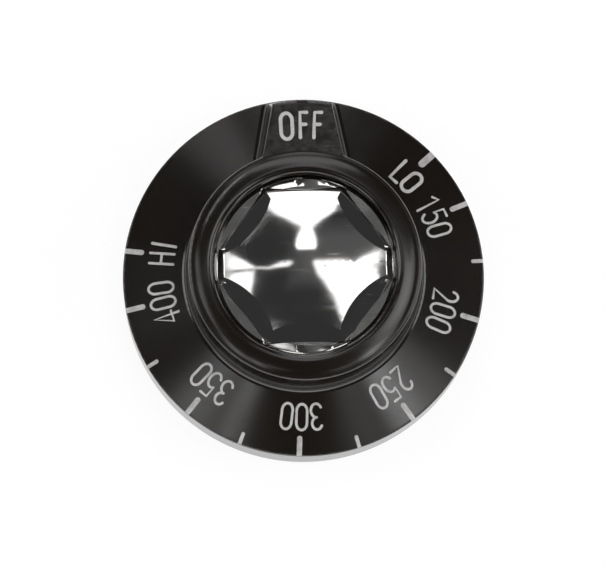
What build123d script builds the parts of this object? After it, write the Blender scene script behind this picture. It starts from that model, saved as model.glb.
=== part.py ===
from build123d import *
from math import cos, radians, sin, sqrt, tan
import os

# Oven control knob, lying face up. Millimetres. The axis of the shaft is Z and the
# origin is at the centre of the rim plane. The OFF pad points to +Y.

# Dial skirt
RIM_R = 30.15            # outer radius at the rim plane
SKIRT_SIDE_H = 8.0       # height of the skirt's outer edge
SKIRT_DRAFT = 0.7        # degrees, side wall
SKIRT_SLOPE = 17.5       # degrees, face of the dial
SKIRT_EDGE_ROUND = 0.35
SKIRT_WALL = 2.7
TRIM_PAST = 4.0          # the forms run this far past the rim before they are trimmed

# Hub
RIM_H = 21.4             # crest of the hub, highest point of the moulding
HUB_TOP_R = 19.05
HUB_DRAFT = 2.0
HUB_WALL = 2.6
CREST_FALL = 0.35        # from the crest down to the hub's outer edge and to the pad
CREST_FOOT_IN = 0.6      # from the hub's outer edge in to the foot of the crest
LIP_ROUND = 1.1          # from the crest down into the recess of the insert

FOOT_ROUND = 1.2         # foot of the hub and of the pad on the dial face
TOP_EDGE_ROUND = 0.5     # top edges of the hub and of the pad

# OFF pad
PAD_IN_HALF = 6.65       # half width of the top where it meets the hub
PAD_IN_Y = 17.9
PAD_TAPER = 11.6         # degrees, each side in plan
PAD_END_IN = 3.05        # from the rim in to the top's outer edge
PAD_DRAFT = 5.0
PAD_WALL = 3.0
GATE_W = 1.8             # gate mark in the outer edge of the pad
GATE_DEPTH = 0.45
GATE_H = 0.6

# Chromed insert
INSERT_R = 14.8          # outer radius of the flange
INSERT_GAP = 0.1         # round the flange in its recess
INSERT_SINK = 1.9        # from the crest of the hub down to the flange
INSERT_CROWN = 3.1       # from the flange up to the crown of the dome
DOME_R = 45.0
FLANGE_T = 1.6
FLANGE_BEVEL_W = 0.5
FLANGE_BEVEL_H = 0.3
BODY_R = 14.3            # faceted body above the flange
FACET_SLOPE = 35.0       # degrees from level
FACET_FOOT_R = 12.62     # where the middle of a front or rear facet meets the flange
SIDE_FACET_FOOT_R = 12.79
SIDE_FACET_ANGLE = 52.0  # degrees, between the front facet and the next one
FACET_HOLLOW_R = 100.0   # each facet is slightly hollow across its width
FLAT_IN_X = 13.2         # the two narrow flats, left and right
FLAT_SLOPE = 46.0
RIDGE_ROUND = 0.25
INSERT_WALL = 1.4
PEG_X = 9.0
PEG_R = 1.5
PEG_FIT = 0.1
PEG_POST_R = 2.2
PEG_HEAD_R = 2.0
PEG_HEAD_T = 0.8

# Web, boss and shaft hole
WEB_T = 3.2
BOSS_R = 6.4
BOSS_END = 2.0           # the boss stops this far above the rim plane
BOSS_DRAFT = 0.6
RIB_T = 1.8
RIB_H = 5.0              # ribs, down from the web
RIB_COUNT = 4
SHAFT_R = 3.175
SHAFT_FLAT = 2.385       # axis to the flat of the shaft
SHAFT_FIT = 0.04
SHAFT_DEPTH = 10.6
MOUTH_CHAMFER = 0.5

# Shaft spring
SPRING_T = 0.35
SPRING_W = 2.8
SPRING_FIT = 0.04
SPRING_SLOT_DEPTH = 1.15 # from the flat to the slot's back wall
SPRING_PROUD = 0.1       # how far the bow stands into the hole
SPRING_END_GAP = 0.4
SPRING_FOLD = 0.8        # width of the fold over the distance between the legs

os.makedirs("parts", exist_ok=True)


def turned(points):
    """Solid of revolution about Z from a closed outline of (radius, height) points."""
    return revolve(Plane.XZ * make_face(Polyline(*points, close=True)), Axis.Z)


# Levels and radii that several parts share
skirt_edge_r = RIM_R - SKIRT_SIDE_H * tan(radians(SKIRT_DRAFT))
slope = tan(radians(SKIRT_SLOPE))
hub_draft = tan(radians(HUB_DRAFT))
pad_out_r = RIM_R - PAD_END_IN
pad_top = RIM_H - CREST_FALL
# foot of the hub, where its drafted wall meets the sloping dial face
hub_foot_r = (HUB_TOP_R + hub_draft * (pad_top - SKIRT_SIDE_H - slope * skirt_edge_r)) / (1 - hub_draft * slope)
hub_foot_h = SKIRT_SIDE_H + slope * (skirt_edge_r - hub_foot_r)
recess_r = INSERT_R + INSERT_GAP
flange_top = RIM_H - INSERT_SINK
recess_floor = flange_top - FLANGE_T
web_under = recess_floor - WEB_T
crest_r = recess_r + LIP_ROUND
crest_foot_r = HUB_TOP_R - CREST_FOOT_IN


def face_h(r):
    """Height of the dial face at a radius."""
    return SKIRT_SIDE_H + slope * (skirt_edge_r - r)


# Knob body, outside
def pad_half(y):
    """Half width of the pad's top at a distance y from the axis."""
    return PAD_IN_HALF - (y - PAD_IN_Y) * tan(radians(PAD_TAPER))


def pad_block(inset, low, high, y0, y1):
    """Drafted block with the plan of the pad, its sides set in by a wall."""
    sections = []
    for level in (high, low):
        grow = (pad_top - level) * tan(radians(PAD_DRAFT)) / cos(radians(PAD_TAPER)) - inset
        outline = [
            (-pad_half(y0) - grow, y0),
            (pad_half(y0) + grow, y0),
            (pad_half(y1) + grow, y1),
            (-pad_half(y1) - grow, y1),
        ]
        sections.append(Pos(0, 0, level) * make_face(Polyline(*outline, close=True)))
    return loft(sections, ruled=True)


# The forms run on past the outer edge, so that the foot rounds can be trimmed with them.
past_r = RIM_R + TRIM_PAST
skirt = turned([
    (0, -1),
    (past_r, -1),
    (past_r, face_h(past_r)),
    (hub_foot_r - 1, face_h(hub_foot_r - 1)),
    (0, face_h(hub_foot_r - 1)),
])
hub = turned([
    (0, SKIRT_SIDE_H),
    (hub_foot_r + hub_draft * (hub_foot_h - SKIRT_SIDE_H), SKIRT_SIDE_H),
    (HUB_TOP_R, pad_top),
    (0, pad_top),
])
body = skirt + hub + pad_block(0, 0, pad_top, HUB_TOP_R / 2, past_r - TRIM_PAST / 2)

foot_edges = [
    e for e in body.edges()
    if e.bounding_box().max.Z < hub_foot_h + 0.5
    and e.bounding_box().min.Z > face_h(past_r) - 0.5
    and Vector(e.center().X, e.center().Y).length < past_r - 2
    and e.geom_type != GeomType.LINE
]
corner_edges = [
    e for e in body.edges()
    if e.bounding_box().size.Z > 0.8 * (pad_top - hub_foot_h)
    and Vector(e.center().X, e.center().Y).length < HUB_TOP_R + 2
]
body = fillet(foot_edges + corner_edges, FOOT_ROUND)

# What lies outside the side wall, the rounded dial edge and the leaning end of the pad
# is trimmed away.
side_dir = (Vector(RIM_R, 0) - Vector(skirt_edge_r, SKIRT_SIDE_H)).normalized()
face_dir = Vector(-cos(radians(SKIRT_SLOPE)), sin(radians(SKIRT_SLOPE)))
half_angle = radians(side_dir.get_angle(face_dir)) / 2
edge_point = Vector(skirt_edge_r, SKIRT_SIDE_H)
edge_low = edge_point + side_dir * (SKIRT_EDGE_ROUND / tan(half_angle))
edge_high = edge_point + face_dir * (SKIRT_EDGE_ROUND / tan(half_angle))
edge_mid = edge_point + (side_dir + face_dir).normalized() * SKIRT_EDGE_ROUND * (1 / sin(half_angle) - 1)
clear_r = past_r + 2
outside = (
    Polyline((0, 0), (RIM_R, 0), edge_low)
    + ThreePointArc(edge_low, edge_mid, edge_high)
    + Polyline(edge_high, (pad_out_r, pad_top), (pad_out_r, pad_top + 1), (clear_r, pad_top + 1), (clear_r, -2), (0, -2), (0, 0))
)
body = body - revolve(Plane.XZ * make_face(outside), Axis.Z)

top_edges = [e for e in body.edges() if e.bounding_box().min.Z > pad_top - 0.01]
body = fillet(top_edges, TOP_EDGE_ROUND)

# The recess of the insert, and round it the crest of the hub, which falls away on both sides.
body = body - Pos(0, 0, recess_floor) * Cylinder(crest_r, RIM_H, align=(Align.CENTER, Align.CENTER, Align.MIN))
crest = (
    Line((recess_r, recess_floor - LIP_ROUND), (recess_r, RIM_H - LIP_ROUND))
    + TangentArc((crest_r, RIM_H), (recess_r, RIM_H - LIP_ROUND), tangent=(-1, 0), tangent_from_first=True)
    + TangentArc((crest_r, RIM_H), (crest_foot_r, pad_top), tangent=(1, 0), tangent_from_first=True)
    + Polyline((crest_foot_r, pad_top), (crest_foot_r, recess_floor - LIP_ROUND), (recess_r, recess_floor - LIP_ROUND))
)
body = body + revolve(Plane.XZ * make_face(crest), Axis.Z)
gate = Box(GATE_W, GATE_DEPTH * 2, GATE_H * 2)
body = body - Pos(0, pad_out_r, pad_top) * gate

# Knob body, underside
skirt_in_r = RIM_R - SKIRT_WALL
roof = SKIRT_WALL / cos(radians(SKIRT_SLOPE))
hub_in_r = hub_foot_r - HUB_WALL
body = body - turned([
    (0, -1),
    (skirt_in_r, -1),
    (skirt_in_r, face_h(skirt_in_r) - roof),
    (hub_in_r, face_h(hub_in_r) - roof),
    (hub_in_r - hub_draft * (web_under - hub_foot_h), web_under),
    (0, web_under),
])
pocket_top = pad_top - PAD_WALL
end_lean = (edge_high.X - pad_out_r) / (pad_top - SKIRT_SIDE_H)
pocket_end = pad_out_r + end_lean * PAD_WALL - PAD_WALL
body = body - pad_block(PAD_WALL, SKIRT_SIDE_H - roof, pocket_top, hub_in_r + HUB_WALL, pocket_end)

boss_top_r = BOSS_R + (web_under - BOSS_END) * tan(radians(BOSS_DRAFT))
boss = turned([(0, BOSS_END), (BOSS_R, BOSS_END), (boss_top_r, web_under + 0.5), (0, web_under + 0.5)])
ribs = Box(2 * hub_in_r + 1, RIB_T, RIB_H + 0.5, align=(Align.CENTER, Align.CENTER, Align.MIN))
for k in range(RIB_COUNT // 2):
    boss += Pos(0, 0, web_under - RIB_H) * Rot(0, 0, 180 / RIB_COUNT + k * 360 / RIB_COUNT) * ribs
body = body + boss

hole_r = SHAFT_R + SHAFT_FIT
hole_flat = SHAFT_FLAT + SHAFT_FIT
hole = Cylinder(hole_r, SHAFT_DEPTH + 1, align=(Align.CENTER, Align.CENTER, Align.MIN))
hole -= Pos(0, hole_flat, 0) * Box(4 * hole_r, 2 * hole_r, 3 * SHAFT_DEPTH, align=(Align.CENTER, Align.MIN, Align.CENTER))
body = body - Pos(0, 0, BOSS_END - 1) * hole
body = body - turned([
    (0, BOSS_END - 1),
    (hole_r + MOUTH_CHAMFER + 1, BOSS_END - 1),
    (hole_r, BOSS_END + MOUTH_CHAMFER),
    (0, BOSS_END + MOUTH_CHAMFER),
])
slot_w = SPRING_W + 2 * SPRING_FIT
slot = Box(slot_w, SPRING_SLOT_DEPTH + 1, SHAFT_DEPTH + 1, align=(Align.CENTER, Align.MIN, Align.MIN))
body = body - Pos(0, hole_flat - 1, BOSS_END - 1) * slot
for side in (-1, 1):
    body = body - Pos(side * PEG_X, 0, web_under - 1) * Cylinder(
        PEG_R + PEG_FIT, WEB_T + 2, align=(Align.CENTER, Align.CENTER, Align.MIN))

# Chromed insert
dome_centre = flange_top + INSERT_CROWN - DOME_R


def dome_h(r):
    """Height of the dome at a radius."""
    return dome_centre + sqrt(DOME_R**2 - r**2)


# radius where the middle of a front facet leaves the dome
facet_slope = tan(radians(FACET_SLOPE))
facet_apex = flange_top + FACET_FOOT_R * facet_slope - dome_centre
facet_in_r = (facet_apex * facet_slope - sqrt(DOME_R**2 * (1 + facet_slope**2) - facet_apex**2)) / (1 + facet_slope**2)

insert = Pos(0, 0, dome_centre) * Sphere(DOME_R)
insert &= Pos(0, 0, recess_floor) * Cylinder(BODY_R, DOME_R, align=(Align.CENTER, Align.CENTER, Align.MIN))
insert += turned([
    (0, recess_floor),
    (INSERT_R, recess_floor),
    (INSERT_R, flange_top - FLANGE_BEVEL_H),
    (INSERT_R - FLANGE_BEVEL_W, flange_top),
    (0, flange_top),
])
cut_w = 4 * INSERT_R     # wider than the insert
on_level = (Align.CENTER, Align.CENTER, Align.MIN)
above_flange = Pos(0, 0, flange_top) * Box(cut_w, cut_w, cut_w, align=on_level)
facets = [(0, FACET_FOOT_R), (180, FACET_FOOT_R)]
for angle in (SIDE_FACET_ANGLE, 180 - SIDE_FACET_ANGLE):
    facets += [(angle, SIDE_FACET_FOOT_R), (-angle, SIDE_FACET_FOOT_R)]
for angle, foot_r in facets:
    # a wide cylinder lies along the slope of the facet and hollows it slightly
    tool = Pos(0, 0, FACET_HOLLOW_R) * Rot(90, 0, 0) * Cylinder(FACET_HOLLOW_R, cut_w)
    tool = Pos(0, foot_r, flange_top) * Rot(-FACET_SLOPE, 0, 0) * tool
    insert -= Rot(0, 0, -angle) * (tool & above_flange)
for side in (0, 180):
    tool = Box(cut_w, cut_w, cut_w, align=on_level)
    tool = Pos(FLAT_IN_X, 0, dome_h(FLAT_IN_X)) * Rot(0, FLAT_SLOPE, 0) * tool
    insert -= Rot(0, 0, side) * (tool & above_flange)

# rounded ridges between the facets, and where they leave the dome
ridge_edges = [
    e for e in insert.edges()
    if e.center().Z > flange_top + RIDGE_ROUND / 2
    and Vector(e.center().X, e.center().Y).length > 0.9 * facet_in_r
    and e.length > 6 * RIDGE_ROUND
]
insert = fillet(ridge_edges, RIDGE_ROUND)

insert_pocket_r = FACET_FOOT_R - INSERT_WALL
under_r = DOME_R - INSERT_WALL
shoulder_r = facet_in_r - INSERT_WALL * sin(radians(FACET_SLOPE))
shoulder_h = dome_centre + sqrt(under_r**2 - shoulder_r**2)
pocket_profile = (
    Polyline(
        (0, recess_floor - 1),
        (insert_pocket_r, recess_floor - 1),
        (insert_pocket_r, shoulder_h - (insert_pocket_r - shoulder_r) * facet_slope),
        (shoulder_r, shoulder_h),
    )
    + ThreePointArc(
        (shoulder_r, shoulder_h),
        (shoulder_r / 2, dome_centre + sqrt(under_r**2 - shoulder_r**2 / 4)),
        (0, dome_centre + under_r),
    )
    + Polyline((0, dome_centre + under_r), (0, recess_floor - 1))
)
insert = insert - revolve(Plane.XZ * make_face(pocket_profile), Axis.Z)
post_top = dome_centre + sqrt(under_r**2 - (PEG_X + PEG_POST_R) ** 2) + INSERT_WALL / 2
for side in (-1, 1):
    peg = turned([
        (0, web_under - PEG_HEAD_T),
        (PEG_HEAD_R, web_under - PEG_HEAD_T),
        (PEG_HEAD_R, web_under),
        (PEG_R, web_under),
        (PEG_R, recess_floor),
        (PEG_POST_R, recess_floor),
        (PEG_POST_R, post_top),
        (0, post_top),
    ])
    insert = insert + Pos(side * PEG_X, 0, 0) * peg

# Shaft spring: one strip folded like a hairpin: a straight leg on the slot's back wall, and a bowed
# leg that bears on the flat of the shaft.
back_y = hole_flat + SPRING_SLOT_DEPTH - SPRING_FIT - SPRING_T / 2
bow_y = hole_flat - SPRING_PROUD + SPRING_T / 2
fold_r = (back_y - bow_y) / 2 * SPRING_FOLD
spring_low = BOSS_END + SPRING_END_GAP
spring_high = BOSS_END + SHAFT_DEPTH - SPRING_END_GAP - SPRING_T / 2
fold_h = spring_high - fold_r
strip = (
    Line((back_y, spring_low), (back_y, fold_h))
    + ThreePointArc((back_y, fold_h), (back_y - fold_r, spring_high), (back_y - 2 * fold_r, fold_h))
    + ThreePointArc((back_y - 2 * fold_r, fold_h), (bow_y, (fold_h + spring_low) / 2), (back_y - 2 * fold_r, spring_low))
)
spring = extrude(Plane.YZ * trace(strip, SPRING_T), SPRING_W / 2, both=True)

export_step(body, "parts/knob_body.step")
export_step(insert, "parts/chrome_insert.step")
export_step(spring, "parts/shaft_spring.step")
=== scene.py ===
import math

import bpy
from mathutils import Matrix, Vector


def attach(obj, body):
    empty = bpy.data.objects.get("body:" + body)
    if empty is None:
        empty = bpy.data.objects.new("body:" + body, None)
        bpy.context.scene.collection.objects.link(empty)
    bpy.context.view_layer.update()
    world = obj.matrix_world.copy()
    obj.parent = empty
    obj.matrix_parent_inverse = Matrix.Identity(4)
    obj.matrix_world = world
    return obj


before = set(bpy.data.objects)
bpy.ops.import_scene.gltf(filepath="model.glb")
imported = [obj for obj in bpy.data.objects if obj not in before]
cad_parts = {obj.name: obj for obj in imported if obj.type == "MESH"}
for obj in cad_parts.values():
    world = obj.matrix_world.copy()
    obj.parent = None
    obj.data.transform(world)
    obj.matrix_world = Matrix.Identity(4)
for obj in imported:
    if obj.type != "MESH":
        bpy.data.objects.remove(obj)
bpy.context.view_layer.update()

MM = 0.001

# Dial face of the moulding, in millimetres: a cone from the edge up to the hub.
EDGE_R = 30.052
EDGE_H = 8.0
FACE_RISE = math.tan(math.radians(17.5))
CORNER_ROUND = 0.35
PAD_TOP_H = 21.05

# Chromed insert, in millimetres
DOME_R = 45.0
DOME_CENTRE_H = -22.4
FLAT_IN_R = 14.28

# Depth of the fine texture in the two main finishes, in millimetres
MOULDING_GRAIN = 0.002
CHROME_WAVE = 0.021

# Markings
DIGIT_W = 2.25
LETTER_IN_R = 21.45
LETTER_OUT_R = 26.1
DIGIT_STROKE = 0.50
PAINT_PROUD = 0.03
TICK_STEP = 19.32
FIRST_TICK = 47.3


class Value:
    """A number inside a node tree. Python arithmetic on it adds Math nodes."""

    def __init__(self, wiring, socket):
        self.wiring = wiring
        self.socket = socket

    def _with(self, operation, *others, clamp=False):
        return self.wiring.maths(operation, self, *others, clamp=clamp)

    def __add__(self, other):
        return self._with("ADD", other)

    __radd__ = __add__

    def __sub__(self, other):
        return self._with("SUBTRACT", other)

    def __rsub__(self, other):
        return self.wiring.maths("SUBTRACT", other, self)

    def __mul__(self, other):
        return self._with("MULTIPLY", other)

    __rmul__ = __mul__

    def __truediv__(self, other):
        return self._with("DIVIDE", other)

    def __pow__(self, other):
        return self._with("POWER", other)

    def least(self, other):
        return self._with("MINIMUM", other)

    def most(self, other):
        return self._with("MAXIMUM", other)

    def clamped(self):
        return self._with("ADD", 0.0, clamp=True)

    def root(self):
        return self._with("SQRT")

    def past(self, edge, soft):
        """0 below the edge and 1 above it, with a soft change between."""
        return self.wiring.maths("MULTIPLY_ADD", self, 1.0 / soft, 0.5 - edge / soft, clamp=True)


class Wiring:
    """Adds nodes to one tree and joins them."""

    def __init__(self, tree):
        self.tree = tree

    def add(self, kind, settings=None, inputs=None):
        node = self.tree.nodes.new(kind)
        for name, value in (settings or {}).items():
            setattr(node, name, value)
        for name, value in (inputs or {}).items():
            self.feed(node.inputs[name], value)
        return node

    def feed(self, socket, value):
        if isinstance(value, Value):
            value = value.socket
        if isinstance(value, bpy.types.NodeSocket):
            self.tree.links.new(value, socket)
        else:
            socket.default_value = value

    def maths(self, operation, *values, clamp=False):
        node = self.tree.nodes.new("ShaderNodeMath")
        node.operation = operation
        node.use_clamp = clamp
        for socket, value in zip(node.inputs, values):
            self.feed(socket, value)
        return Value(self, node.outputs[0])

    def parts(self, vector):
        """The three numbers of a vector socket."""
        node = self.add("ShaderNodeSeparateXYZ", inputs={"Vector": vector})
        return [Value(self, node.outputs[k]) for k in range(3)]

    def noise(self, vector, scale, detail=2.0):
        node = self.add("ShaderNodeTexNoise", {"noise_dimensions": "3D"}, {
            "Vector": vector, "Scale": scale, "Detail": detail, "Roughness": 0.5})
        return Value(self, node.outputs["Fac"])

    def blend(self, factor, first, second):
        """A colour between two colours."""
        node = self.tree.nodes.new("ShaderNodeMix")
        node.data_type = "RGBA"
        self.feed(node.inputs[0], factor)
        self.feed(node.inputs[6], first)
        self.feed(node.inputs[7], second)
        return node.outputs[2]


def finish_named(name):
    """A new material with an empty Principled shader, its wiring and its shader."""
    material = bpy.data.materials.new(name)
    material.use_nodes = True
    wiring = Wiring(material.node_tree)
    shader = material.node_tree.nodes["Principled BSDF"]
    place = wiring.add("ShaderNodeTexCoord").outputs["Object"]
    return material, wiring, shader, place


def stretched(wiring, vector, scale, turn=(0.0, 0.0, 0.0)):
    """Coordinates stretched and turned, so that a pattern becomes streaks."""
    return wiring.add("ShaderNodeMapping", inputs={
        "Vector": vector, "Scale": scale, "Rotation": turn}).outputs[0]


def black_moulding():
    """Gloss black phenolic with a faint flow, fine rubbing, a warm gate mark and a painted highlight along
    the crest of the hub.
    """
    material, w, shader, place = finish_named("black_moulding")
    x, y, z = w.parts(place)
    radius = (x * x + y * y).root()
    cloud = w.noise(place, 110.0, detail=3.0)
    grain = w.noise(place, 2600.0, detail=2.0)
    rub_a = w.noise(stretched(w, place, (300.0, 5200.0, 300.0), (0.0, 0.0, 0.5)), 1.0, detail=1.0)
    rub_b = w.noise(stretched(w, place, (300.0, 4300.0, 300.0), (0.0, 0.0, 2.1)), 1.0, detail=1.0)
    rubs = (rub_a.past(0.70, 0.03)).most(rub_b.past(0.72, 0.03))
    dust = w.noise(place, 900.0, detail=2.0).past(0.73, 0.04) * 0.5
    # the highest edges, at the crest of the hub and at the edge of the dial, are rubbed paler
    crest = z.past(20.85 * MM, 0.3 * MM) * radius.past(18.8 * MM, 0.3 * MM)
    brim = radius.past(29.7 * MM, 0.3 * MM) * z.past(7.4 * MM, 0.6 * MM)
    # a painted highlight: a thin pale line round the outer edge of the hub's crest, put into the colour
    line = (radius.past(18.88 * MM, 0.12 * MM) * (1.0 - radius.past(19.08 * MM, 0.1 * MM))
            * z.past(20.6 * MM, 0.3 * MM))
    # the painted highlight line is paler towards the back and ends at the pad
    off_pad = 1.0 - y.past(0.0, 1.0 * MM) * (1.0 - (x * x).root().past(6.6 * MM, 0.4 * MM))
    line = line * (y.past(2.0 * MM, 20.0 * MM) * 0.6 + 0.4) * off_pad
    worn = (crest.most(brim) * w.noise(place, 700.0, detail=3.0).past(0.5, 0.3)).clamped()
    gate = ((y.past(26.55 * MM, 0.35 * MM) * z.past(20.5 * MM, 0.5 * MM))
            * (1.0 - (x * x).root().past(1.0 * MM, 0.5 * MM)))
    base = w.blend(cloud.past(0.5, 0.6), (0.0125, 0.0094, 0.0073, 1.0), (0.0165, 0.0126, 0.0102, 1.0))
    base = w.blend((worn * 0.35 + dust * 0.25).clamped(), base, (0.060, 0.055, 0.052, 1.0))
    # the painted highlight line along the crest goes into the colour here
    base = w.blend(line, base, (0.20, 0.185, 0.175, 1.0))
    base = w.blend(gate * 0.8, base, (0.035, 0.010, 0.011, 1.0))
    w.feed(shader.inputs["Base Color"], base)
    rough = 0.13 + cloud * 0.04 + rubs * 0.05 + worn * 0.12 + gate * 0.15
    w.feed(shader.inputs["Roughness"], rough.clamped())
    shader.inputs["IOR"].default_value = 1.58
    # shading only: the crest of the hub seems to fall away more steeply towards its edge
    on_crest = z.past(20.9 * MM, 0.05 * MM)
    steeper_r = radius.least(18.5 * MM)
    steeper = (steeper_r - 16.2 * MM).most(0.0) * -0.05 + (steeper_r - 17.9 * MM).most(0.0) * -0.04
    height = (grain * 0.4 - rubs * 0.3) * (MOULDING_GRAIN * MM) + steeper * on_crest
    bump = w.add("ShaderNodeBump", inputs={"Strength": 1.0, "Distance": 1.0, "Height": height})
    w.feed(shader.inputs["Normal"], bump.outputs[0])
    return material


def bright_chrome():
    """Chrome plate over a moulded insert: slightly wavy, with a few pits, a film and hairlines."""
    material, w, shader, place = finish_named("bright_chrome")
    x, y, z = w.parts(place)
    radius = (x * x + y * y).root()
    side_x = (x * x).root()
    wave = w.noise(place, 170.0, detail=1.5)
    ripple = w.noise(stretched(w, place, (60.0, 900.0, 200.0)), 1.0, detail=2.0)
    pits = w.add("ShaderNodeTexVoronoi", {"feature": "F1"}, {
        "Vector": place, "Scale": 300.0, "Randomness": 1.0})
    chosen = w.parts(pits.outputs["Color"])[0].past(0.72, 0.02)
    pit = (1.0 - Value(w, pits.outputs["Distance"]).past(0.045, 0.05)) * chosen
    hair = w.noise(stretched(w, place, (130.0, 3600.0, 130.0), (0.0, 0.0, 0.95)), 1.0, detail=1.0)
    hair = hair.past(0.745, 0.03)
    smudge = w.noise(place, 240.0, detail=3.0)
    film = w.noise(stretched(w, place, (90.0, 260.0, 90.0), (0.0, 0.0, 0.9)), 1.0, detail=3.0)
    # the outer slopes are duller, and faint lines run across the front of the dome
    outer = radius.past(11.0 * MM, 5.0 * MM)
    lines = (ripple.past(0.56, 0.10) * (1.0 - y.past(-5.5 * MM, 3.0 * MM))
             * (1.0 - side_x.past(6.0 * MM, 3.0 * MM)))
    base = w.blend((pit * 0.6 + hair * 0.3).clamped(), (0.84, 0.825, 0.815, 1.0), (0.45, 0.44, 0.43, 1.0))
    base = w.blend(film.past(0.5, 0.5) * 0.25, base, (0.74, 0.725, 0.715, 1.0))
    w.feed(shader.inputs["Base Color"], base)
    shader.inputs["Metallic"].default_value = 1.0
    rough = (0.045 + smudge.past(0.5, 0.4) * 0.05 + pit * 0.3 + hair * 0.12
             + outer * film.past(0.55, 0.3) * 0.05 + lines * 0.03)
    w.feed(shader.inputs["Roughness"], rough.clamped())
    texture = (wave * 1.0 + ripple * 0.12 - pit * 0.10 - hair * 0.02) * (CHROME_WAVE * MM)
    # The rest is shading only, with no geometry behind it, and tilts what the chrome mirrors.
    # In front and behind, the flange seems to roll over towards its rim.
    on_flange = z.past(19.40 * MM, 0.08 * MM) * (1.0 - z.past(19.60 * MM, 0.04 * MM))
    reach = (radius - (x.past(2.0 * MM, 4.0 * MM) * (0.6 * MM) + 13.15 * MM)).most(0.0)
    beside = (x - 1.3 * MM) * (1.0 / (3.0 * MM))
    uneven = (beside * beside).least(1.0) * (0.75 + w.noise(place, 260.0, detail=1.0) * 0.5)
    rolled = reach * -0.25 * uneven * (1.0 - side_x.past(6.8 * MM, 0.8 * MM)) * on_flange
    # the two narrow flats, left and right, are turned a little
    off_axis = (y * y).root()
    flat = (side_x - FLAT_IN_R * MM) * -0.20 + (radius - 14.3 * MM) * 0.6 + y * 0.05
    flat = flat * 1.02 * side_x.past(FLAT_IN_R * MM, 0.04 * MM) * (1.0 - off_axis.past(2.3 * MM, 0.15 * MM))
    # the facets lean back towards the dome, except beside the flats
    dome = ((DOME_R * MM) ** 2 - radius * radius).most(0.0).root() + DOME_CENTRE_H * MM
    hollow = (dome - z - 0.05 * MM).most(0.0) * 0.41 * z.past(19.53 * MM, 0.02 * MM)
    beside_flat = side_x.past(13.0 * MM, 0.1 * MM) * (1.0 - off_axis.past(2.8 * MM, 0.2 * MM))
    hollow = hollow * (1.0 - beside_flat)
    height = texture + rolled + flat + hollow
    bump = w.add("ShaderNodeBump", inputs={"Strength": 1.0, "Distance": 1.0, "Height": height})
    w.feed(shader.inputs["Normal"], bump.outputs[0])
    return material


def spring_steel():
    """Plain rolled strip with fine lines along it."""
    material, w, shader, place = finish_named("spring_strip")
    lines = w.noise(stretched(w, place, (5200.0, 5200.0, 260.0)), 1.0, detail=2.0)
    cloud = w.noise(place, 500.0, detail=2.0)
    base = w.blend(cloud, (0.40, 0.40, 0.41, 1.0), (0.55, 0.54, 0.53, 1.0))
    w.feed(shader.inputs["Base Color"], base)
    shader.inputs["Metallic"].default_value = 1.0
    w.feed(shader.inputs["Roughness"], 0.24 + lines * 0.2)
    bump = w.add("ShaderNodeBump", inputs={"Strength": 0.15, "Distance": 0.00002, "Height": lines})
    w.feed(shader.inputs["Normal"], bump.outputs[0])
    return material


def filled_paint(name, wear):
    """White paint wiped into the marks, thin and dirty in places."""
    material, w, shader, place = finish_named(name)
    cloud = w.noise(place, 620.0, detail=3.0)
    speck = w.noise(place, 2600.0, detail=3.0)
    thin = (cloud.past(0.62 - wear, 0.22) * 0.7 + speck.past(0.60, 0.15) * 0.4).clamped()
    base = w.blend(thin * 0.6, (0.80, 0.785, 0.775, 1.0), (0.36, 0.345, 0.34, 1.0))
    bare = (cloud * 0.6 + speck * 0.4).past(0.70 - wear * 0.5, 0.04)
    base = w.blend(bare * 0.85, base, (0.05, 0.047, 0.045, 1.0))
    w.feed(shader.inputs["Base Color"], base)
    w.feed(shader.inputs["Roughness"], 0.5 + speck * 0.2)
    bump = w.add("ShaderNodeBump", inputs={"Strength": 0.4, "Distance": 0.00003, "Height": speck})
    w.feed(shader.inputs["Normal"], bump.outputs[0])
    return material


def face_height(radius):
    """Height of the dial face in millimetres."""
    return EDGE_H + FACE_RISE * (EDGE_R - radius)


# ---- ticks ----

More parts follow.
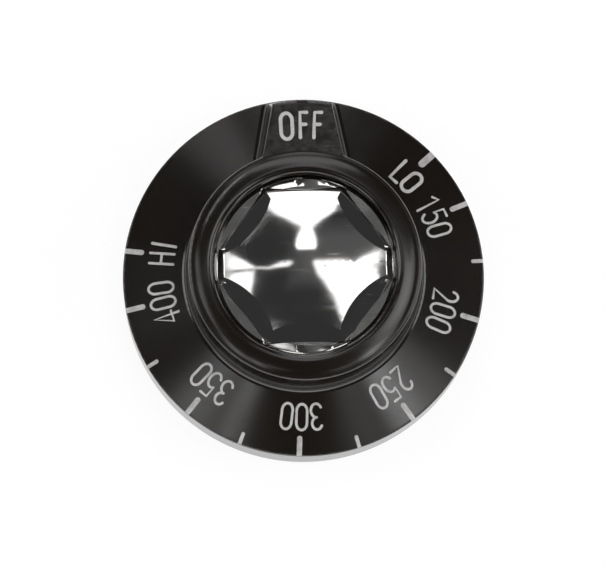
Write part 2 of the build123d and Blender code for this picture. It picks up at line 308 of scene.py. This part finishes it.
def tick_tree(paint):
    """Geometry Nodes tree: thirteen painted ticks round the dial, long and short by turns."""
    tree = bpy.data.node_groups.new("dial ticks", "GeometryNodeTree")
    tree.interface.new_socket("Geometry", in_out="INPUT", socket_type="NodeSocketGeometry")
    tree.interface.new_socket("Geometry", in_out="OUTPUT", socket_type="NodeSocketGeometry")
    sizes = {
        "First Angle": math.radians(FIRST_TICK), "Step Angle": math.radians(TICK_STEP),
        "Tick Width": 0.86 * MM, "First Width": 1.22 * MM, "Short Width": 0.62 * MM,
        "Long Inner Radius": 26.75 * MM, "Short Inner Radius": 27.95 * MM, "Outer Radius": 29.97 * MM,
        "Edge Radius": EDGE_R * MM, "Edge Height": EDGE_H * MM, "Face Rise": FACE_RISE,
        "Proud": PAINT_PROUD * MM,
    }
    for name, value in sizes.items():
        socket = tree.interface.new_socket(name, in_out="INPUT", socket_type="NodeSocketFloat")
        socket.default_value = value
    count = tree.interface.new_socket("Count", in_out="INPUT", socket_type="NodeSocketInt")
    count.default_value = 13
    w = Wiring(tree)
    given = w.add("NodeGroupInput")
    size = {name: Value(w, given.outputs[name]) for name in sizes}

    line = w.add("GeometryNodeMeshLine", inputs={"Count": given.outputs["Count"]})
    strip = w.add("GeometryNodeMeshGrid", inputs={
        "Size X": 1.0, "Size Y": 1.0, "Vertices X": 5, "Vertices Y": 36})
    number = w.add("GeometryNodeInputIndex")
    keep = tree.nodes.new("GeometryNodeCaptureAttribute")
    keep.domain = "POINT"
    keep.capture_items.new("INT", "tick")
    w.feed(keep.inputs["Geometry"], line.outputs["Mesh"])
    w.feed(keep.inputs["tick"], number.outputs[0])
    local = tree.nodes.new("GeometryNodeCaptureAttribute")
    local.domain = "POINT"
    local.capture_items.new("VECTOR", "local")
    w.feed(local.inputs["Geometry"], strip.outputs["Mesh"])
    w.feed(local.inputs["local"], w.add("GeometryNodeInputPosition").outputs[0])
    placed = w.add("GeometryNodeInstanceOnPoints", inputs={
        "Points": keep.outputs["Geometry"], "Instance": local.outputs["Geometry"]})
    real = w.add("GeometryNodeRealizeInstances", inputs={"Geometry": placed.outputs[0]})

    tick = Value(w, keep.outputs["tick"])
    across, along, _ = w.parts(local.outputs["local"])
    first = w.maths("LESS_THAN", tick, 0.5)
    last = w.maths("GREATER_THAN", tick, 11.5)
    even = w.maths("LESS_THAN", w.maths("MODULO", tick, 2.0), 0.5)
    short = (even - first - last).clamped()
    inner = size["Long Inner Radius"] * (1.0 - short) + size["Short Inner Radius"] * short
    width = size["Tick Width"] * (1.0 - short) + size["Short Width"] * short
    width = width * (1.0 - first) + size["First Width"] * first
    share = along + 0.5
    radius = inner + (size["Outer Radius"] - inner) * share * (2.0 - share) ** 0.35
    radius = radius.least(size["Outer Radius"])
    reach = ((radius - inner) / width * 2.0).least(1.0)
    rounding = (1.0 - (1.0 - reach) * (1.0 - reach)).most(0.0).root()
    side = across * width * rounding
    angle = size["First Angle"] + size["Step Angle"] * tick
    sine = w.maths("SINE", angle)
    cosine = w.maths("COSINE", angle)
    out_x = radius * sine + side * cosine
    out_y = radius * cosine - side * sine
    # over the rounded edge of the dial the paint follows the round
    corner_r = size["Edge Radius"] - 0.357 * MM
    corner_h = size["Edge Height"] - 0.254 * MM
    turn = CORNER_ROUND * MM
    over = (radius - corner_r).most(0.0)
    arc = corner_h + (turn * turn - over * over).most(0.0).root()
    flat = size["Edge Height"] + size["Face Rise"] * (size["Edge Radius"] - radius)
    on_round = w.maths("GREATER_THAN", radius, size["Edge Radius"] - 0.252 * MM)
    height = flat * (1.0 - on_round) + arc * on_round - 0.02 * MM
    point = w.add("ShaderNodeCombineXYZ")
    w.feed(point.inputs[0], out_x)
    w.feed(point.inputs[1], out_y)
    w.feed(point.inputs[2], height)
    laid = w.add("GeometryNodeSetPosition", inputs={
        "Geometry": real.outputs[0], "Position": point.outputs[0]})
    under = w.add("GeometryNodeFlipFaces", inputs={"Mesh": laid.outputs[0]})
    raised = w.add("GeometryNodeExtrudeMesh", {"mode": "FACES"}, {
        "Mesh": laid.outputs[0], "Offset Scale": size["Proud"] + 0.02 * MM, "Individual": False})
    both = w.add("GeometryNodeJoinGeometry")
    w.feed(both.inputs[0], raised.outputs["Mesh"])
    w.feed(both.inputs[0], under.outputs[0])
    joined = w.add("GeometryNodeMergeByDistance", inputs={"Geometry": both.outputs[0], "Distance": 0.000001})
    painted = w.add("GeometryNodeSetMaterial", inputs={"Geometry": joined.outputs[0], "Material": paint})
    result = w.add("NodeGroupOutput")
    w.feed(result.inputs["Geometry"], painted.outputs[0])
    return tree


def made_plain(carrier, name):
    """The evaluated result of an object as a plain mesh object at the origin."""
    graph = bpy.context.evaluated_depsgraph_get()
    mesh = bpy.data.meshes.new_from_object(carrier.evaluated_get(graph))
    bpy.data.objects.remove(carrier)
    mesh.name = name
    piece = bpy.data.objects.new(name, mesh)
    bpy.context.scene.collection.objects.link(piece)
    return piece


def dial_ticks(paint):
    carrier = bpy.data.objects.new("tick carrier", bpy.data.meshes.new("tick carrier"))
    bpy.context.scene.collection.objects.link(carrier)
    modifier = carrier.modifiers.new("ticks", "NODES")
    modifier.node_group = tick_tree(paint)
    for item in modifier.node_group.interface.items_tree:
        if item.in_out == "INPUT" and item.name == "Count":
            modifier[item.identifier] = 13
    return made_plain(carrier, "dial_ticks")


# ---- lettering ----

def bend(centre, size, start, stop, steps=14):
    """Points on an oval arc, angles in degrees anticlockwise from +x."""
    points = []
    for k in range(steps + 1):
        a = math.radians(start + (stop - start) * k / steps)
        points.append((centre[0] + size[0] * math.cos(a), centre[1] + size[1] * math.sin(a)))
    return points


def character(sign):
    """Strokes of one engraved character in a box one wide and one high."""
    oval = 0.27
    if sign in "0O":
        top = bend((0.5, 1 - oval), (0.5, oval), 0, 180)
        bottom = bend((0.5, oval), (0.5, oval), 180, 360)
        return [top + bottom + [top[0]]]
    if sign == "1":
        return [[(0.22, 0.83), (0.72, 1.0), (0.72, 0.0)]]
    if sign == "2":
        cap = bend((0.5, 1 - oval), (0.47, oval), 165, -28)
        return [cap + [(0.03, 0.0), (0.97, 0.0)]]
    if sign == "3":
        upper = bend((0.48, 0.765), (0.46, 0.235), 155, -90)
        lower = bend((0.48, 0.265), (0.50, 0.265), 90, -155)
        return [upper, lower]
    if sign == "4":
        return [[(0.72, 0.0), (0.72, 1.0), (0.0, 0.27), (1.02, 0.27)]]
    if sign == "5":
        bowl = bend((0.47, 0.32), (0.51, 0.32), 128, -152)
        return [[(0.90, 1.0), (0.18, 1.0), (0.13, 0.57)] + bowl]
    if sign == "L":
        return [[(0.08, 1.0), (0.08, 0.0), (1.0, 0.0)]]
    if sign == "H":
        return [[(0.08, 0.0), (0.08, 1.0)], [(0.92, 0.0), (0.92, 1.0)], [(0.08, 0.52), (0.92, 0.52)]]
    if sign == "I":
        return [[(0.5, 0.0), (0.5, 1.0)]]
    return [[(0.08, 0.0), (0.08, 1.0), (1.0, 1.0)], [(0.08, 0.52), (0.85, 0.52)]]


def stroke_points(points, width):
    """One stroke with its radius at each point, and round ends unless it is closed."""
    closed = points[0] == points[-1]
    if closed:
        return [(x, y, 1.0) for x, y in points[:-1]], True
    result = [(x, y, 1.0) for x, y in points]

    def cap(end, before):
        away = Vector((end[0] - before[0], end[1] - before[1])).normalized() * width / 2
        return [(end[0] + away.x * math.sin(a), end[1] + away.y * math.sin(a), max(math.cos(a), 0.02))
                for a in (math.radians(d) for d in (30, 55, 75, 90))]

    return list(reversed(cap(points[0], points[1]))) + result + cap(points[-1], points[-2]), False


def lettered(name, signs, paint, onto):
    """Raised strokes for (sign, width, height, stroke, place), bent onto the moulding by onto()."""
    data = bpy.data.curves.new(name, "CURVE")
    data.dimensions = "3D"
    data.bevel_depth = 0.5
    data.bevel_resolution = 3
    data.use_fill_caps = True
    placed = []
    for sign, width, height, stroke, place in signs:
        for points in character(sign):
            wide = [((x - 0.5) * (width - stroke), y * (height - stroke) + stroke / 2) for x, y in points]
            run, closed = stroke_points(wide, stroke)
            spline = data.splines.new("POLY")
            spline.points.add(len(run) - 1)
            spline.use_cyclic_u = closed
            for point, (x, y, share) in zip(spline.points, run):
                # each character is drawn apart from the others, and moved to its place below
                point.co = (x + 100.0 * len(placed), y, 0.0, 1.0)
                point.radius = share * stroke
        placed.append(place)
    carrier = bpy.data.objects.new(name, data)
    bpy.context.scene.collection.objects.link(carrier)
    piece = made_plain(carrier, name)
    for vertex in piece.data.vertices:
        which = int(round(vertex.co.x / 100.0))
        x = vertex.co.x - 100.0 * which
        vertex.co = Vector(onto(placed[which], x, vertex.co.y, vertex.co.z)) * MM
    piece.data.materials.clear()
    piece.data.materials.append(paint)
    for face in piece.data.polygons:
        face.use_smooth = True
    return piece


def onto_face(place, x, y, z):
    """A point of a character on the cone: y is up the cone's radius, outwards."""
    angle = math.radians(place)
    radius = LETTER_IN_R + y
    east, north = x, radius
    spot = Vector((north * math.sin(angle) + east * math.cos(angle),
                   north * math.cos(angle) - east * math.sin(angle)))
    return spot.x, spot.y, face_height(spot.length) + z * 0.24 - 0.03


def onto_pad(place, x, y, z):
    """A point of a character on the level top of the pad."""
    lean = place[2]
    return place[0] + x + lean * y, place[1] + y, PAD_TOP_H + z * 0.16 - 0.03


def dial_lettering(paint):
    height = LETTER_OUT_R - LETTER_IN_R
    signs = [("L", 2.25, height, 0.66, 43.9), ("O", 2.68, height, 0.66, 50.1)]
    numbers = {
        "150": (60.6, 66.6, 72.5), "200": (99.5, 105.6, 111.7), "250": (138.0, 144.0, 149.8),
        "300": (176.2, 182.0, 188.0), "350": (215.0, 220.9, 226.5), "400": (253.2, 259.4, 265.5),
    }
    for number, places in numbers.items():
        for sign, place in zip(number, places):
            signs.append((sign, DIGIT_W, height, DIGIT_STROKE, place))
    signs.append(("H", 2.55, height - 0.15, 0.50, 277.4))
    signs.append(("I", 0.60, height - 0.15, 0.56, 283.0))
    return lettered("dial_lettering", signs, paint, onto_face)


def off_lettering(paint):
    signs = [
        ("O", 2.60, 5.05, 0.72, (-2.55, 20.35, -0.03)),
        ("F", 1.90, 4.90, 0.72, (0.10, 20.60, 0.0)),
        ("F", 1.95, 4.90, 0.72, (2.30, 20.55, 0.05)),
    ]
    return lettered("off_lettering", signs, paint, onto_pad)


# ---- table, light and camera ----

def white_table():
    """A wide white table top. It shows as white to the camera and in what mirrors it."""
    mesh = bpy.data.meshes.new("table")
    half = 3.0
    corners = [(-half, -half, 0), (half, -half, 0), (half, half, 0), (-half, half, 0)]
    mesh.from_pydata(corners, [], [(0, 1, 2, 3)])
    table = bpy.data.objects.new("table", mesh)
    bpy.context.scene.collection.objects.link(table)
    table.location.z = -0.00002
    material = bpy.data.materials.new("table_white")
    material.use_nodes = True
    w = Wiring(material.node_tree)
    nodes = material.node_tree.nodes
    shader = nodes["Principled BSDF"]
    grain = w.noise(w.add("ShaderNodeTexCoord").outputs["Object"], 40.0)
    w.feed(shader.inputs["Base Color"], w.blend(grain, (0.80, 0.80, 0.80, 1.0), (0.84, 0.84, 0.84, 1.0)))
    shader.inputs["Roughness"].default_value = 0.7
    seen = w.add("ShaderNodeLightPath")
    direct = Value(w, seen.outputs["Is Camera Ray"]).most(Value(w, seen.outputs["Is Glossy Ray"]))
    glow = w.add("ShaderNodeEmission", inputs={"Color": (1.0, 1.0, 1.0, 1.0), "Strength": 1.14})
    both = w.add("ShaderNodeMixShader")
    w.feed(both.inputs[0], direct * 0.8)
    w.feed(both.inputs[1], shader.outputs[0])
    w.feed(both.inputs[2], glow.outputs[0])
    w.feed(nodes["Material Output"].inputs["Surface"], both.outputs[0])
    mesh.materials.append(material)
    return table


# What lights the knob and shows in its chrome. Each has its strength, its outlines with the softness of
# their edges, and the brighter places inside them with what they add. An outline is convex and
# anticlockwise, in degrees from straight up, towards +X and +Y. The outlines were fitted to the
# reflections seen from the photograph's place.
ROOM_LEVEL = 0.033
HAZE = (0.06, [(-4.0, 1.0), (34.0, 1.0), (36.0, 27.0), (6.0, 24.0), (-3.0, 14.0)], 9.0)
REAR_WINDOW = (1.7, [
    ([(0.6, 25.0), (4.6, 25.0), (14.5, 32.2), (17.5, 40.5), (-16.0, 40.5), (-12.0, 32.2)], 1.4),
    ([(-2.0, 15.0), (5.8, 15.0), (6.4, 16.5), (6.0, 19.5),
      (4.4, 26.0), (0.7, 26.0), (-2.2, 19.5), (-2.9, 16.5)], 0.9),
], [])
RIGHT_WINDOW = (1.4, [
    ([(4.4, 9.6), (6.6, 4.0), (12.4, -4.0), (33.0, -4.0),
      (33.0, 9.6), (20.0, 10.0), (12.0, 11.4), (8.0, 11.4)], 1.5),
    ([(22.0, 9.0), (33.0, 8.5), (34.5, 15.4), (31.0, 14.6)], 1.2),
    ([(12.4, -3.5), (14.6, -10.0), (17.2, -19.0), (19.5, -24.6),
      (25.5, -24.6), (31.8, -16.0), (32.4, -3.5)], 1.8),
], [
    ([(13.0, 13.0), (14.0, -2.0), (20.0, -5.0), (26.0, -4.0), (28.0, 2.0), (28.0, 13.0)], 6.0, 1.4),
    ([(18.0, -14.0), (19.0, -23.0), (25.0, -23.0), (26.0, -14.0)], 3.5, 3.2),
])
LEFT_WINDOW = (1.4, [
    ([(-27.0, -8.0), (-22.8, -8.0), (-20.4, 6.2), (-32.5, 6.0), (-32.5, -1.0)], 1.1),
    ([(-27.0, -25.0), (-19.0, -25.0), (-20.5, -13.0), (-24.5, -9.0), (-27.0, -9.0)], 2.0),
    ([(-32.5, 7.5), (-20.0, 7.6), (-20.5, 8.6), (-29.5, 14.0), (-32.5, 14.8)], 0.9),
    ([(-21.5, 7.3), (-13.0, 7.2), (-13.0, 7.9), (-21.5, 8.1)], 0.6),
    ([(-14.0, 7.2), (-6.0, 8.0), (-4.0, 9.6), (-5.5, 10.3), (-9.5, 9.8), (-14.0, 7.9)], 0.9),
], [
    ([(-29.0, 1.0), (-22.0, 1.0), (-22.0, 11.0), (-29.0, 11.0)], 4.0, 0.3),
    ([(-25.0, -24.0), (-20.0, -24.0), (-20.0, -15.0), (-25.0, -15.0)], 3.0, 0.7),
])
LOW_LIGHTS = (1.0, [
    ([(-14.0, -22.5), (-5.0, -22.0), (-5.0, -19.0), (-14.0, -19.0)], 1.5),
    ([(-17.5, -26.5), (-12.0, -26.5), (-12.0, -19.0), (-17.5, -19.0)], 2.5),
    ([(-25.0, 37.5), (-12.0, 40.5), (-13.0, 46.0), (-26.0, 45.0)], 3.0),
    ([(9.5, -28.0), (17.5, -28.0), (17.0, -21.5), (10.5, -22.5)], 3.0),
], [
    ([(-17.5, -26.0), (-13.0, -26.0), (-13.0, -20.0), (-17.5, -20.0)], 2.5, 2.0),
])
CURL = (11.0, [
    ([(-25.2, 20.6), (-24.2, 20.6), (-17.4, 31.0), (-18.9, 31.0)], 0.7),
    ([(-18.9, 30.4), (-17.6, 30.4), (-14.4, 35.5), (-16.6, 35.5)], 0.7),
], [])
FAR_WALLS = (1.6, [
    ([(-10.0, 47.0), (12.0, 47.0), (16.0, 74.0), (-14.0, 74.0)], 3.0),
    ([(-24.0, 73.0), (24.0, 73.0), (24.0, 92.0), (-24.0, 92.0)], 2.0),
], [])
FRONT_WALL = (3.4, [
    ([(-30.0, -71.0), (-20.0, -90.0), (20.0, -90.0), (30.0, -71.0)], 3.0),
    ([(28.0, -72.0), (20.0, -90.0), (50.0, -78.0), (74.0, -48.0), (60.0, -44.0)], 3.0),
    ([(-28.0, -72.0), (-60.0, -44.0), (-74.0, -48.0), (-50.0, -78.0), (-20.0, -90.0)], 3.0),
], [])
SIDE_LIGHTS = (3.0, [
    ([(51.0, 20.0), (48.0, -14.0), (62.0, -20.0), (74.0, 0.0), (72.0, 26.0)], 2.0),
    ([(-50.0, 20.0), (-70.0, 26.0), (-74.0, 0.0), (-62.0, -12.0), (-49.0, -8.0)], 2.0),
], [])
ROOM = [REAR_WINDOW, RIGHT_WINDOW, LEFT_WINDOW, LOW_LIGHTS, CURL, FAR_WALLS, FRONT_WALL, SIDE_LIGHTS]


def soft_studio():
    """A dim room with soft white windows overhead. The camera sees plain white."""
    world = bpy.data.worlds.new("studio")
    bpy.context.scene.world = world
    world.use_nodes = True
    w = Wiring(world.node_tree)
    nodes = world.node_tree.nodes
    way = w.add("ShaderNodeTexCoord").outputs["Generated"]
    dx, dy, dz = w.parts(way)
    flat = (dx * dx + dy * dy).root().most(0.00001)
    lean = w.maths("ARCCOSINE", dz.least(1.0).most(-1.0)) * math.degrees(1.0)
    px = dx / flat * lean
    py = dy / flat * lean

    def beside(a, b, soft):
        """1 on the left of the line from a to b, 0 on its right."""
        run = Vector((b[0] - a[0], b[1] - a[1])).normalized()
        distance = py * run.x - px * run.y
        return distance.past(a[1] * run.x - a[0] * run.y, soft)

    def inside(points, soft):
        area = beside(points[-1], points[0], soft)
        for a, b in zip(points, points[1:]):
            area = area.least(beside(a, b, soft))
        return area

    haze, points, soft = HAZE
    level = inside(points, soft) * haze + ROOM_LEVEL
    for strength, outlines, brighter in ROOM:
        shape = None
        for points, soft in outlines:
            part = inside(points, soft)
            shape = part if shape is None else shape.most(part)
        light = strength
        for points, soft, extra in brighter:
            light = inside(points, soft) * extra + light
        level = level.most(shape * light)
    horizon = lean.past(88.0, 4.0)
    level = level * (1.0 - horizon) + horizon * 1.0
    camera_ray = Value(w, w.add("ShaderNodeLightPath").outputs["Is Camera Ray"])
    level = level * (1.0 - camera_ray) + camera_ray * 1.0
    back = nodes["Background"]
    back.inputs["Color"].default_value = (1.0, 1.0, 1.0, 1.0)
    w.feed(back.inputs["Strength"], level)


def photo_camera():
    """The photographer's place: 0.6 m above, nine degrees off the axis."""
    data = bpy.data.cameras.new("camera")
    data.sensor_width = 36.0
    data.lens = 211.5
    data.clip_start = 0.01
    pixels = 606.0
    focal = data.lens / data.sensor_width * pixels
    distance = 0.6
    tilt = math.radians(9.05)
    towards = Vector((-0.156 * math.sin(tilt), -0.988 * math.sin(tilt), math.cos(tilt))).normalized()
    picture_up = Vector((0.020, 0.9998, 0.0))
    right = (-towards).cross(picture_up).normalized()
    up = right.cross(-towards).normalized()
    camera = bpy.data.objects.new("camera", data)
    bpy.context.scene.collection.objects.link(camera)
    # the knob's centre lies slightly off the middle of the picture
    spot = towards * distance + right * (0.4 / focal * distance) + up * (1.4 / focal * distance)
    turn = Matrix((right, up, towards)).transposed().to_4x4()
    camera.matrix_world = Matrix.Translation(spot) @ turn
    bpy.context.scene.camera = camera


def dress(node, material):
    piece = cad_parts[node]
    for slot in piece.material_slots:
        slot.material = material
    if not piece.material_slots:
        piece.data.materials.append(material)


dress("knob_body", black_moulding())
dress("chrome_insert", bright_chrome())
dress("shaft_spring", spring_steel())

ticks = dial_ticks(filled_paint("tick_paint", 0.10))
letters = dial_lettering(filled_paint("letter_paint", 0.0))
off_word = off_lettering(filled_paint("off_paint", -0.15))
for piece in (ticks, letters, off_word):
    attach(piece, "root")

white_table()
soft_studio()
photo_camera()
bpy.context.scene.view_settings.view_transform = "Standard"
